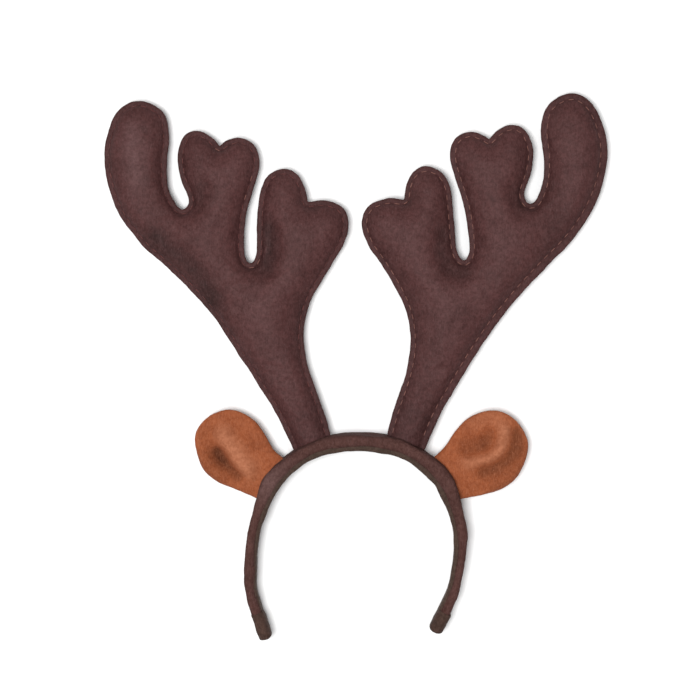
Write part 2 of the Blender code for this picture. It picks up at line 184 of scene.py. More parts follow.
def soft_section(low, high, depth, rounding, crown, count):
    """Even points round a rectangle with round corners and slightly domed sides."""
    rounding = min(rounding, 0.49 * (high - low), 0.49 * depth)
    half = np.array([(high - low) / 2, depth / 2])
    corners = []
    for number, signs in enumerate(((1, 1), (-1, 1), (-1, -1), (1, -1))):
        turn = np.linspace(0, math.pi / 2, 9) + number * math.pi / 2
        spread = rounding * np.column_stack([np.cos(turn), np.sin(turn)])
        corners.append(signs * (half - rounding) + spread)
    path = np.vstack(corners + [corners[0][:1]])
    flat = even_line(path, count)[:-1]
    shares = flat / half
    domed = crown * np.sign(flat) * shares**4 * (1 - shares[:, ::-1] ** 2)
    return flat + domed + ((low + high) / 2, 0.0)


def corner_normals(points, triangles):
    """Each point's direction out of the surface."""
    a, b, c = (points[triangles[:, corner]] for corner in range(3))
    across = np.cross(b - a, c - a)
    normals = np.zeros_like(points)
    for corner in range(3):
        np.add.at(normals, triangles[:, corner], across)
    return normals / np.maximum(np.linalg.norm(normals, axis=1), 1e-12)[:, None]


class Unevenness(NamedTuple):
    """Soft lumps in cloth: how far apart they are, how high, and a number that sets where they fall."""

    spacing: float
    height: float
    seed: int


def uneven(points, normals, layers):
    """The points moved along their normals by smooth random lumps."""
    moved = points.copy()
    for layer in layers:
        shift = Vector((3.1, 5.7, 7.9)) * layer.seed
        rise = [noise.noise(Vector(point) / layer.spacing + shift) for point in points]
        moved += normals * (layer.height * np.array(rise))[:, None]
    return moved


def fan(faces):
    """The faces cut into triangles."""
    return np.array([(face[0], b, c) for face in faces for b, c in zip(face[1:], face[2:])])


def read_mesh(mesh):
    """A mesh's points and its faces as triangles."""
    mesh.calc_loop_triangles()
    points = np.empty(len(mesh.vertices) * 3, np.float32)
    mesh.vertices.foreach_get("co", points)
    triangles = np.empty(len(mesh.loop_triangles) * 3, np.int32)
    mesh.loop_triangles.foreach_get("vertices", triangles)
    return points.reshape(-1, 3).astype(float), triangles.reshape(-1, 3)


def add_piece(name, points, faces, finish, tint=None):
    """A smooth mesh with its material, turned outwards. Its last argument is each point's painted shade, or
    painted highlight where it is below 0.
    """
    mesh = bpy.data.meshes.new(name)
    mesh.from_pydata([tuple(point) for point in points], [], [tuple(map(int, face)) for face in faces])
    if np.linalg.det(np.asarray(points)[fan(faces)]).sum() < 0:
        mesh.flip_normals()
    if tint is not None:
        mesh.attributes.new("tint", "FLOAT", "POINT").data.foreach_set("value", tint)
    mesh.shade_smooth()
    mesh.materials.append(finish)
    piece = bpy.data.objects.new(name, mesh)
    bpy.context.collection.objects.link(piece)
    return piece


def soften(piece, layers, rest=True, levels=1):
    """Subdivides a piece, then gives its felt soft lumps, keeping it above what it lies on."""
    if levels:
        piece.modifiers.new("rounding", "SUBSURF").levels = levels
        fine = bpy.data.meshes.new_from_object(piece.evaluated_get(bpy.context.evaluated_depsgraph_get()))
        piece.modifiers.clear()
        piece.data = fine
    points, triangles = read_mesh(piece.data)
    points = uneven(points, corner_normals(points, triangles), layers)
    if rest:
        points[:, 2] = np.maximum(points[:, 2], 0.0)
    piece.data.vertices.foreach_set("co", points.ravel())
    piece.data.shade_smooth()
    piece.data.update()


def loft_faces(rings, count):
    """The faces through this many rings of equal count, closed flat at both ends."""
    faces = [tuple(range(count))]
    for level in range(rings - 1):
        start = level * count
        for i in range(count):
            j = (i + 1) % count
            faces.append((start + j, start + i, start + count + i, start + count + j))
    last = (rings - 1) * count
    faces.append(tuple(last + i for i in reversed(range(count))))
    return faces


class Field:
    """A number that varies over a material, held as the socket that gives it."""

    def __init__(self, finish, socket):
        self.finish = finish
        self.socket = socket

    def join(self, operation, *numbers):
        return self.finish.node("ShaderNodeMath", {"operation": operation}, dict(enumerate(numbers)))

    def __add__(self, other):
        return self.join("ADD", self, other)

    def __sub__(self, other):
        return self.join("SUBTRACT", self, other)

    def __rsub__(self, other):
        return self.join("SUBTRACT", other, self)

    def __mul__(self, other):
        return self.join("MULTIPLY", self, other)

    __radd__ = __add__
    __rmul__ = __mul__

    def between(self, low, high):
        """0 where this is at low, 1 at high, and smooth from one to the other."""
        settings = {"interpolation_type": "SMOOTHSTEP"}
        return self.finish.node("ShaderNodeMapRange", settings, {0: self, 1: low, 2: high, 3: 0.0, 4: 1.0})


class Finish:
    """A material put together node by node on its Principled shader."""

    def __init__(self, name, roughness, sheen, sheen_colour, gloss=0.14):
        self.material = bpy.data.materials.new(name)
        self.material.use_nodes = True
        self.tree = self.material.node_tree
        self.shader = self.tree.nodes["Principled BSDF"]
        self.set("Roughness", roughness)
        self.set("Sheen Weight", sheen)
        self.set("Sheen Roughness", 0.45)
        self.set("Sheen Tint", (*sheen_colour, 1.0))
        self.set("Specular IOR Level", gloss)
        self.place = self.node("ShaderNodeTexCoord", output="Object")

    def set(self, name, value):
        """Sets one of the shader's own sockets, or links a varying value to it."""
        self.fill(self.shader.inputs[name], value)

    def fill(self, socket, value):
        if isinstance(value, Field):
            self.tree.links.new(value.socket, socket)
        else:
            socket.default_value = value

    def node(self, kind, settings=None, sockets=None, output=0):
        """Any node: its type, its settings, then its sockets' values or links."""
        made = self.tree.nodes.new(kind)
        for name, value in (settings or {}).items():
            setattr(made, name, value)
        for name, value in (sockets or {}).items():
            self.fill(made.inputs[name], value)
        return Field(self, made.outputs[output])

    def grain(self, spacing, detail=3.0, rough=0.6, twist=0.0, stretch=(1.0, 1.0, 1.0), turn=0.0):
        """Cloudy noise from 0 to 1 with patches about this far apart, drawn out and turned if asked."""
        place = self.place
        if stretch != (1.0, 1.0, 1.0) or turn:
            sockets = {"Vector": place, "Scale": stretch, "Rotation": (0.0, 0.0, turn)}
            place = self.node("ShaderNodeMapping", None, sockets)
        sockets = {"Vector": place, "Scale": 1 / spacing, "Detail": detail, "Roughness": rough}
        return self.node("ShaderNodeTexNoise", None, {**sockets, "Distortion": twist})

    def mixed(self, share, first, second, blend="MIX"):
        """A colour between two, given as values or as links, or the first tinted by the second."""
        colours = [value if isinstance(value, Field) else (*value, 1.0) for value in (first, second)]
        settings = {"data_type": "RGBA", "blend_type": blend}
        return self.node("ShaderNodeMix", settings, {0: share, 6: colours[0], 7: colours[1]}, output=2)

    def raise_by(self, height, distance):
        """Raises the surface's look by height, from 0 to 1, times this distance."""
        bump = self.node("ShaderNodeBump", None, {"Height": height, "Distance": distance, "Strength": 1.0})
        self.set("Normal", bump)


class FeltColours(NamedTuple):
    """A felt's colours: over most of it, on its loose fibres and as painted highlight, as painted shade in
    its hollows and down to its cut edges.

    Between its clumps of fibre the colour is tinted by the last one.
    """

    main: tuple
    bright: tuple
    dark: tuple
    between: tuple


def felt(name, colours, roughness, sheen, sheen_colour, nap, gloss=0.14):
    """Brushed felt: matted clumps, short fibres lying every way, cloudy patches, and painted shade and
    painted highlight set point by point.
    """
    finish = Finish(name, roughness, sheen, sheen_colour, gloss)
    clumps = finish.grain(0.0021, detail=4.0, rough=0.62, twist=0.6)
    smudges = finish.grain(0.0065, detail=3.0, twist=0.4)
    patches = finish.grain(0.022, detail=2.0)
    strands = [
        finish.grain(0.0005, detail=2.0, stretch=(1.0, 0.16, 0.5), turn=turn, twist=0.8)
        for turn in (0.3, 1.4, 2.5)
    ]
    tangle = strands[0].join("MAXIMUM", strands[0], strands[1])
    tangle = tangle.join("MAXIMUM", tangle, strands[2])
    # Each point's painted shade, or painted highlight where it is below 0, broken up by the smudges
    tint = finish.node("ShaderNodeAttribute", {"attribute_name": "tint"}, output="Fac")
    tint = tint * (0.75 + 0.5 * smudges)
    colour = finish.mixed(tint, colours.main, colours.dark)
    colour = finish.mixed(0 - tint, colour, colours.bright)
    colour = finish.mixed((1 - clumps.between(0.30, 0.72)) * 0.80, colour, colours.between, "MULTIPLY")
    colour = finish.mixed(smudges.between(0.45, 0.75) * 0.35, colour, colours.between, "MULTIPLY")
    colour = finish.mixed(patches.between(0.42, 0.70) * 0.35, colour, colours.between, "MULTIPLY")
    colour = finish.mixed(tangle.between(0.50, 0.86) * 0.55, colour, colours.bright)
    finish.set("Base Color", colour)
    finish.raise_by(clumps * 0.55 + tangle * 0.45, nap)
    return finish.material


ARCH_FELT = felt(
    "arch_felt",
    FeltColours((0.092, 0.042, 0.036), (0.145, 0.084, 0.079), (0.038, 0.024, 0.018), (0.50, 0.44, 0.42)),
    roughness=0.8,
    sheen=0.02,
    sheen_colour=(0.62, 0.40, 0.38),
    nap=0.00050,
    gloss=0.04,
)

arch = Arch()
cover_rings = []
cover_painted_light = []
for along in np.linspace(arch.start, arch.end, round((arch.end - arch.start) / COVER_STEP) + 1):
    # The cover stands fuller where the ears are set in it
    shoulder = SHOULDER_FULL * math.exp(-(((abs(along) - SHOULDER_AT) / SHOULDER_REACH) ** 2))
    flat = soft_section(
        arch.inner_face(along),
        arch.thick(along) / 2 + COVER_NAP + shoulder,
        arch.depth(along),
        COVER_ROUNDING,
        COVER_CROWN,
        COVER_POINTS,
    )
    cover_rings.append(arch.stand(along, flat))
    # A highlight is painted on its felt over the left ear's foot
    painted_highlight = SHOULDER_HIGHLIGHT * math.exp(-(((along + SHOULDER_AT) / SHOULDER_REACH) ** 2))
    cover_painted_light.extend([-painted_highlight] * COVER_POINTS)
cover = add_piece(
    "arch_cover", np.vstack(cover_rings), loft_faces(len(cover_rings), COVER_POINTS), ARCH_FELT, cover_painted_light
)
soften(cover, (Unevenness(0.019, 0.0009, 1), Unevenness(0.007, 0.0004, 2), Unevenness(0.0022, 0.00016, 3)))
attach(cover, "root")
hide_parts("headband")


# The lining. A paler strip of the same kind of cloth is glued up the inside of the arch, from one end
# sleeve to the other, and over the crown its front edge is turned out round the cover's inner corner.
LEFT_WRAP_LENGTH = 0.0165
RIGHT_WRAP_LENGTH = 0.0125
LINING_MARGIN = 0.0008
LINING_REACH = 0.0017
LINING_FELT = 0.0011
LINING_HEM = 0.0021
LINING_SUNK = 0.0006
LINING_POINTS = 26
# How full the strip is towards its front edge: from this far before the cover's corner to past it
ROLL_PLACES = (-0.011, -0.004, 0.0, 0.0015)
# Along the arch, how far the front edge is turned out and how thick it rolls, as shares of the most
TURNED_OUT = ((-0.125, -0.075, -0.015, 0.03, 0.075), (0.25, 0.95, 1.0, 0.75, 0.25))
ROLLED = ((-0.16, -0.11, -0.065, 0.0, 0.065, 0.10, 0.14), (-0.3, 0.0, 0.5, 0.7, 0.8, 0.3, 0.0))
WANDER = 0.0004
WANDER_SPACING = 0.011
LINING_CLOTH = felt(
    "lining_cloth",
    FeltColours((0.067, 0.040, 0.030), (0.11, 0.076, 0.062), (0.028, 0.018, 0.013), (0.52, 0.5, 0.46)),
    roughness=0.8,
    sheen=0.04,
    sheen_colour=(0.7, 0.6, 0.55),
    nap=0.00040,
)


def lining_section(along, reach, hem):
    """A strip up the inner face, turned this far round the cover's front corner over a roll this thick."""
    low = arch.inner_face(along)
    half = arch.depth(along) / 2
    straight = [(low, -half + LINING_MARGIN + COVER_ROUNDING / 2), (low, half - COVER_ROUNDING)]
    turn = np.linspace(math.pi, math.pi / 2, 9)
    bend = COVER_ROUNDING * np.column_stack([np.cos(turn), np.sin(turn)])
    bend += (low + COVER_ROUNDING, half - COVER_ROUNDING)
    path = np.vstack([straight, bend[1:], bend[-1:] + (0.004, 0.0)])
    place = lengths_along(path)
    corner = place[1]
    even = np.linspace(0, corner + reach, LINING_POINTS + 1)
    line = np.column_stack([np.interp(even, place, column) for column in path.T])
    ahead = np.gradient(line, axis=0)
    away = np.column_stack([-ahead[:, 1], ahead[:, 0]]) / np.linalg.norm(ahead, axis=1)[:, None]
    # It is pressed into the cover's felt at both edges, where it is glued, and is full between them
    share = np.linspace(-1, 1, LINING_POINTS + 1)[:, None]
    round_edge = (1 - share**10) ** 0.5
    plain = LINING_THICK - CLEARANCE
    fullness = (plain, plain + hem, plain + hem, LINING_FELT)
    full = np.interp(even - corner, ROLL_PLACES, fullness)[:, None]
    top = line + away * ((full + LINING_SUNK) * round_edge - LINING_SUNK)
    bottom = line - away * LINING_SUNK
    return np.vstack([top, bottom[-2:0:-1]])


lining_start = arch.start + LEFT_WRAP_LENGTH * 0.8
lining_end = arch.end - RIGHT_WRAP_LENGTH * 0.8
lining_rings = []
for along in np.linspace(lining_start, lining_end, round((lining_end - lining_start) / COVER_STEP) + 1):
    wander = noise.noise(Vector((along / WANDER_SPACING, 0.0, 4.0))) * WANDER
    reach = LINING_REACH * np.interp(along, *TURNED_OUT) + wander
    hem = LINING_HEM * np.interp(along, *ROLLED) + wander
    section = lining_section(along, reach, hem)
    lining_rings.append(arch.stand(along, section))
lining = add_piece(
    "lining", np.vstack(lining_rings), loft_faces(len(lining_rings), len(lining_rings[0])), LINING_CLOTH
)
soften(lining, (Unevenness(0.008, 0.0003, 4), Unevenness(0.002, 0.00012, 5)))
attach(lining, "root")
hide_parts("band_lining")


# The end sleeves. A short tube of grey-brown cloth is pulled over each end of the arch, closed round
# its tip and glued. The mouth has a raw edge, and one side is lapped over the other.
WRAP_THICK = 0.0011
WRAP_POINTS = 40
WRAP_LIP = 0.0001
LAP_SHARE = 0.10
LAP_RAMP = 0.15
TIP_LENGTH = 0.0019
TIP_DRAWN_IN = 0.0034
WRAP_CLOTH = felt(
    "wrap_cloth",
    FeltColours((0.068, 0.036, 0.027), (0.115, 0.073, 0.06), (0.03, 0.018, 0.013), (0.42, 0.4, 0.38)),
    roughness=0.8,
    sheen=0.04,
    sheen_colour=(0.7, 0.62, 0.58),
    nap=0.00035,
)


class Wrap(NamedTuple):
    """A sleeve over one end of the arch: its length, how far it stands proud, and where it is lapped."""

    name: str
    tip: float
    length: float
    puff: float
    lap: float


def wrap_rings(wrap):
    """Rings from inside the sleeve's mouth to the arch's tip, back over the outside, and round the end."""
    inward = 1 if wrap.tip == arch.start else -1
    beyond = arch.outward(wrap.tip)
    away = np.array([beyond[1], -beyond[0]]) * -inward

    def ring(into, spread, past=0.0):
        along = wrap.tip + inward * into
        flat = soft_section(
            arch.inner_face(along) - spread,
            arch.thick(along) / 2 + spread,
            arch.depth(along) + 2 * spread,
            COVER_ROUNDING + spread,
            COVER_CROWN,
            WRAP_POINTS,
        )
        # One edge of the cloth laps over the other along the sleeve
        turn = np.arctan2(flat[:, 1], flat[:, 0])
        lapped = 1 + LAP_SHARE * np.clip((turn - wrap.lap) / LAP_RAMP, 0, 1) * (spread > WRAP_THICK / 2)
        standing = arch.stand(along, flat * np.column_stack([lapped, np.ones(len(flat))]))
        standing[:, :2] += away * past
        return standing

    places = np.linspace(0, wrap.length, 9)
    puffs = WRAP_THICK + wrap.puff * np.sin(math.pi * (places / wrap.length)) ** 0.6
    rings = [ring(place, CLEARANCE / 2) for place in places]
    rings.append(ring(wrap.length + WRAP_LIP, WRAP_THICK * 0.6))
    rings += [ring(place, puff) for place, puff in zip(places[::-1], puffs[::-1])]
    for turn in np.linspace(0, math.pi / 2, 6)[1:]:
        spread = WRAP_THICK - TIP_DRAWN_IN * (1 - math.cos(turn))
        rings.append(ring(0.0, spread, TIP_LENGTH * math.sin(turn)))
    return rings[::-1] if inward < 0 else rings


WRAPS = (
    Wrap("end_wrap_left", arch.start, LEFT_WRAP_LENGTH, 0.0002, 1.1),
    Wrap("end_wrap_right", arch.end, RIGHT_WRAP_LENGTH, 0.0001, -2.0),
)
for wrap in WRAPS:
    rings = wrap_rings(wrap)
    faces = loft_faces(len(rings), WRAP_POINTS)
    sleeve = add_piece(wrap.name.replace("wrap", "sleeve"), np.vstack(rings), faces, WRAP_CLOTH)
    soften(sleeve, (Unevenness(0.005, 0.0004, 6), Unevenness(0.0018, 0.00016, 7)))
    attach(sleeve, "root")
    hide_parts(wrap.name)


# The antlers. Each is two felt panels cut to one outline, laid flat together and sewn a little inside
# their raw edges, then stuffed from the foot with wadding and set in the seam of the arch's cover.
ANTLER_WIDTH = 0.1530
ANTLER_HEIGHT = 0.2204
ANTLER_FOOT = 0.0232
ANTLER_BULGE = 0.0100
ANTLER_FULLNESS = 0.0120
LEAN_BACK = math.radians(0.6)
FELT_THICK = 0.0015
SEAM_MARGIN = 0.0032
FELT_STEP = 0.0019
STUFFING_MARGIN = 0.0087
CUT_WIDTH = 0.0009
EDGE_SPARE = 0.0004
SWELL_POWER = 0.72
FOOT_SUNK = 0.0004
ROW_DEPTHS = (CUT_WIDTH, 0.0019, SEAM_MARGIN, 0.0044, 0.0061, STUFFING_MARGIN)


class Stretch(NamedTuple):
    """Part of an outline: points as shares of width and height, and whether its last point is a corner."""

    corner: bool
    points: tuple


# The right antler's outline from the arch up its inner side, over its five tines and down its outer
# side: across in shares of its width, from the middle of its foot, and up in shares of its height
ANTLER_OUTLINE = {
    "inner side of the stem": Stretch(
        False, ((-0.049, 0.092), (0.007, 0.212), (0.024, 0.306), (-0.004, 0.400))
    ),
    "first tine": Stretch(
        True,
        (
            (-0.088, 0.503), (-0.150, 0.571), (-0.175, 0.634), (-0.152, 0.679), (-0.079, 0.699),
            (-0.007, 0.695),
        ),
    ),
    "second tine": Stretch(
        False,
        (
            (0.006, 0.742), (0.038, 0.779), (0.090, 0.794), (0.150, 0.777), (0.181, 0.737),
            (0.194, 0.674), (0.204, 0.577), (0.215, 0.537),
        ),
    ),
    "first notch": Stretch(False, ((0.238, 0.520), (0.259, 0.537))),
    "third tine": Stretch(
        True,
        (
            (0.263, 0.582), (0.244, 0.674), (0.200, 0.777), (0.187, 0.828), (0.205, 0.872),
            (0.263, 0.893), (0.318, 0.884), (0.345, 0.870),
        ),
    ),
    "fourth tine": Stretch(
        False,
        (
            (0.375, 0.893), (0.432, 0.912), (0.491, 0.898), (0.521, 0.840), (0.512, 0.777),
            (0.485, 0.717),
        ),
    ),
    "second notch": Stretch(False, ((0.494, 0.691), (0.516, 0.683), (0.541, 0.699))),
    "fifth tine": Stretch(
        False,
        (
            (0.567, 0.754), (0.570, 0.822), (0.559, 0.897), (0.585, 0.966), (0.685, 1.000),
            (0.774, 0.966), (0.821, 0.880), (0.824, 0.794), (0.781, 0.691),
        ),
    ),
    "outer side of the stem": Stretch(
        False,
        ((0.686, 0.588), (0.549, 0.486), (0.420, 0.383), (0.313, 0.280), (0.222, 0.177), (0.137, 0.074)),
    ),
}


def outline(stretches, first, last, place, step):
    """The outline's points from first to last, with each stretch's shares turned into places."""
    runs = [[first]]
    for stretch in stretches.values():
        runs[-1] += [place(across, up) for across, up in stretch.points]
        if stretch.corner:
            runs.append([runs[-1][-1]])
    runs[-1].append(last)
    lines = [smooth_line(run, step) for run in runs]
    return np.vstack([lines[0]] + [line[1:] for line in lines[1:]])


def inward_normals(line, inside_left):
    """The direction into the shape at each point but the ends."""
    ahead = line[2:] - line[:-2]
    ahead /= np.linalg.norm(ahead, axis=1)[:, None]
    left = np.column_stack([-ahead[:, 1], ahead[:, 0]])
    return left if inside_left else -left


def distance_to(points, line):
    """How far each point lies from the nearest part of the line."""
    start = line[:-1]
    run = line[1:] - start
    nearest = np.full(len(points), math.inf)
    for first, step in zip(start, run):
        from_first = points - first
        share = np.clip(from_first @ step / (step @ step), 0, 1)
        nearest = np.minimum(nearest, np.linalg.norm(from_first - share[:, None] * step, axis=1))
    return nearest


def inside(points, ring):
    """Whether each point lies in the closed ring."""
    after = np.roll(ring, -1, axis=0)
    x, y = points[:, :1], points[:, 1:]
    spans = (ring[:, 1] > y) != (after[:, 1] > y)
    rise = np.where(after[:, 1] == ring[:, 1], 1.0, after[:, 1] - ring[:, 1])
    crossing = ring[:, 0] + (y - ring[:, 1]) / rise * (after[:, 0] - ring[:, 0])
    return (spans & (x < crossing)).sum(1) % 2 == 1


class Pattern:
    """A flat piece cut to an outline, in triangles, with rows of points beside its sewn edge."""

    # A row's points stay this share of its depth from the edge, where the outline turns sharply
    LEAST_DEPTH = 0.90
    # These are shares of the step: the least space along a row, between the grid and the innermost
    # row, and between any point and the foot, and the spacing of the grid
    ROW_SPACE = 0.5
    GRID_TO_ROW = 0.65
    FOOT_SPACE = 0.4
    GRID_SPACE = 1.12

    def __init__(self, edge, base, depths, step, margins=None):
        """edge runs round the sewn sides, base back along the foot, and depths are the rows'."""
        ring = np.vstack([edge, base[1:-1]])
        area = (ring[:, 0] * np.roll(ring[:, 1], -1) - np.roll(ring[:, 0], -1) * ring[:, 1]).sum()
        normals = inward_normals(edge, area > 0)
        # The edge draws in a little when the felt is rounded, so it is cut that much larger
        edge[1:-1] -= normals * EDGE_SPARE
        ring[1 : len(edge) - 1] = edge[1:-1]
        margins = np.full(len(edge), SEAM_MARGIN) if margins is None else margins
        from_corner = lengths_along(base)
        from_corner = np.minimum(from_corner, from_corner[-1] - from_corner)
        groups = [ring]
        links = [(i, (i + 1) % len(ring)) for i in range(len(ring))]
        self.edge = edge
        self.base = base
        self.normals = normals
        self.rows = {}
        for depth in depths:
            share = np.clip((depth - CUT_WIDTH) / (SEAM_MARGIN - CUT_WIDTH), 0, 1)
            true = (depth + (margins - SEAM_MARGIN) * share)[1:-1]
            row = edge[1:-1] + normals * true[:, None]
            clear = distance_to(row, edge) > self.LEAST_DEPTH * true
            clear &= distance_to(row, base) > self.FOOT_SPACE * step
            kept = []
            for point in row[clear & inside(row, ring)]:
                if not kept or np.linalg.norm(point - kept[-1]) > self.ROW_SPACE * step:
                    kept.append(point)
            foot = np.flatnonzero(np.isclose(from_corner, depth, atol=0.1 * depth))
            row = np.vstack([base[foot[-1]], *kept, base[foot[0]]])
            start = sum(map(len, groups))
            links += [(start + i, start + i + 1) for i in range(len(row) - 1)]
            groups.append(row)
            self.rows[depth] = row
        grid = self.grid(ring, step)
        clear = distance_to(grid, groups[-1]) > self.GRID_TO_ROW * step
        clear &= distance_to(grid, base) > self.FOOT_SPACE * step
        groups.append(grid[clear & inside(grid, groups[-1])])
        found = delaunay_2d_cdt(
            [Vector(1000 * point) for point in np.vstack(groups)], links, [], 1, 1e-4
        )
        self.points = np.array([tuple(point) for point in found[0]]) / 1000
        self.triangles = np.array([tuple(face) for face in found[2]])
        # Depths count as if the seam ran the same distance in all round
        nearest = [np.argmin(np.linalg.norm(edge - point, axis=1)) for point in self.points]
        true = distance_to(self.points, edge)
        share = np.clip((true - CUT_WIDTH) / (margins[nearest] - CUT_WIDTH), 0, 1)
        self.depth = true - (margins[nearest] - SEAM_MARGIN) * share
        self.at_foot = distance_to(self.points, base) < 1e-5

    def grid(self, ring, step):
        """Points in even triangles over the whole of the ring's box."""
        low, high = ring.min(0), ring.max(0)
        pitch = self.GRID_SPACE * step
        rows = np.arange(low[1], high[1], pitch * math.sqrt(0.75))
        shifts = [pitch / 2 * (number % 2) for number in range(len(rows))]
        return np.array(
            [(x, y) for y, shift in zip(rows, shifts) for x in np.arange(low[0] + shift, high[0], pitch)]
        )

    def swell(self, margin, fullness):
        """How far wadding lifts each point, 0 to 1: a skin held at the seam and pushed up evenly."""
        free = self.depth > 1.02 * margin
        count = len(self.points)
        corners = [self.points[self.triangles[:, corner]] for corner in range(3)]
        sides = [corners[(k + 2) % 3] - corners[(k + 1) % 3] for k in range(3)]
        area = abs(sides[0][:, 0] * sides[1][:, 1] - sides[0][:, 1] * sides[1][:, 0]) / 2
        rows, columns, pulls = [], [], []
        load = np.zeros(count)
        for i in range(3):
            np.add.at(load, self.triangles[:, i], area / 3)
            for j in range(3):
                rows.append(self.triangles[:, i])
                columns.append(self.triangles[:, j])
                pulls.append((sides[i] * sides[j]).sum(1) / (4 * area))
        rows, columns, pulls = map(np.concatenate, (rows, columns, pulls))

        def push(lift):
            return np.bincount(rows, pulls * lift[columns], count) + load / fullness**2 * lift

        # Conjugate gradients, on the free points alone, scaled by the push of each point's own lift
        own = rows == columns
        scale = free / np.maximum(np.bincount(rows[own], pulls[own], count) + load / fullness**2, 1e-12)
        lift = np.zeros(count)
        left = load * free
        aim = scale * left
        along = aim.copy()
        size = left @ aim
        for _ in range(600):
            pushed = push(along) * free
            step = size / (along @ pushed)
            lift += step * along
            left -= step * pushed
            aim = scale * left
            grown = left @ aim
            if grown < 1e-12 * size and grown < 1e-20:
                break
            along = aim + grown / size * along
            size = grown
        return (np.maximum(lift, 0) / lift.max()) ** SWELL_POWER

    def deeper_than(self, depth):
        """The triangles wholly at least this far in from the sewn edge."""
        deep = self.depth > 0.95 * depth
        return self.triangles[deep[self.triangles].all(axis=1)]


def foot_line(side, middle, width, marks, step):
    """Points sunk in the arch from a foot's outer corner to its inner one, with marks in from each."""
    half = width / 2
    count = max(2, round((width - 2 * marks[-1]) / step))
    places = [0.0, *marks, *np.linspace(marks[-1], width - marks[-1], count + 1)[1:-1]]
    places += [width - mark for mark in reversed(marks)] + [width]
    return np.array([arch.outer(side * (middle + half - place), -FOOT_SUNK) for place in places])


def slab_mesh(flat, triangles, low, high):
    """The points and faces of a sheet between two heights over flat triangles, walled round its edge."""
    used = np.unique(triangles)
    index = np.full(len(flat), -1)
    index[used] = np.arange(len(used))
    triangles = index[triangles]
    count = len(used)
    points = np.vstack(
        [np.column_stack([flat[used], high[used]]), np.column_stack([flat[used], low[used]])]
    )
    faces = [tuple(face) for face in triangles]
    faces += [tuple(face[::-1] + count) for face in triangles]
    sides = {(a, b) for face in triangles for a, b in zip(face, np.roll(face, -1))}
    for a, b in sorted(sides):
        if (b, a) not in sides:
            faces.append((b, a, a + count, b + count))
    return points, faces, used


# The wadding's pressure, how far the felt gives to it, and the most that it moves any point
WADDING_PRESSURE = 9.0
FELT_GIVE = 0.012
MOST_BLOWN = 0.0020
BLOWN_FRAMES = 20


def blown(points, faces, held):
    """The points after wadding has filled the cover out: cloth under pressure, held where it is sewn."""
    mesh = bpy.data.meshes.new("blown")
    mesh.from_pydata([tuple(point) for point in points], [], faces)
    if np.linalg.det(points[fan(faces)]).sum() < 0:
        mesh.flip_normals()
    cover = bpy.data.objects.new("blown", mesh)
    bpy.context.collection.objects.link(cover)
    cover.vertex_groups.new(name="held").add([int(i) for i in np.flatnonzero(held)], 1.0, "REPLACE")
    cloth = cover.modifiers.new("cloth", "CLOTH").settings
    cloth.quality = 5
    cloth.vertex_group_mass = "held"
    cloth.pin_stiffness = 1.0
    cloth.use_pressure = True
    cloth.uniform_pressure_force = WADDING_PRESSURE
    cloth.shrink_min = -FELT_GIVE
    cloth.effector_weights.gravity = 0.0
    cloth.bending_stiffness = 2.0
    scene = bpy.context.scene
    cover.modifiers["cloth"].point_cache.frame_end = BLOWN_FRAMES
    for number in range(1, BLOWN_FRAMES + 1):
        scene.frame_set(number)
    settled, _ = read_mesh(cover.evaluated_get(bpy.context.evaluated_depsgraph_get()).to_mesh())
    scene.frame_set(1)
    bpy.data.objects.remove(cover, do_unlink=True)
    move = settled - points
    length = np.linalg.norm(move, axis=1)
    move *= (np.minimum(length, MOST_BLOWN) / np.maximum(length, 1e-9))[:, None]
    return points + move


class Nudge(NamedTuple):
    """How an outline moves near one place, in metres: out and up, fading over its reach."""

    across: float
    up: float
    reach: float
    out: float
    rise: float


class Dent(NamedTuple):
    """A soft hollow along a line of places: its reach and depth in metres, and how much shade is painted
    along it, or highlight where this is below 0.
    """

    reach: float
    depth: float
    shade: float
    line: tuple


class Antler(NamedTuple):
    """Where an antler sits along the arch, in shares of the span, its lean out and its share of full size.

    Its seam runs this far in from the raw edge round its outer side, its cutting and its stuffing have
    small faults of their own, and a few of its dark stitches were mended in the pale thread.
    """

    side: int
    along: float
    lean_out: float
    size: float
    outer_margin: float
    nudges: tuple
    dents: tuple
    mended: tuple


def nudged(spot, width, height, nudges):
    """A place in metres, given as shares of a width and a height and moved by each nudge near it."""
    start = np.array(spot) * (width, height)
    moved = start.copy()
    for nudge in nudges:
        away = start - (nudge.across * width, nudge.up * height)
        moved += math.exp(-(away @ away) / nudge.reach**2) * np.array([nudge.out, nudge.rise])
    return moved


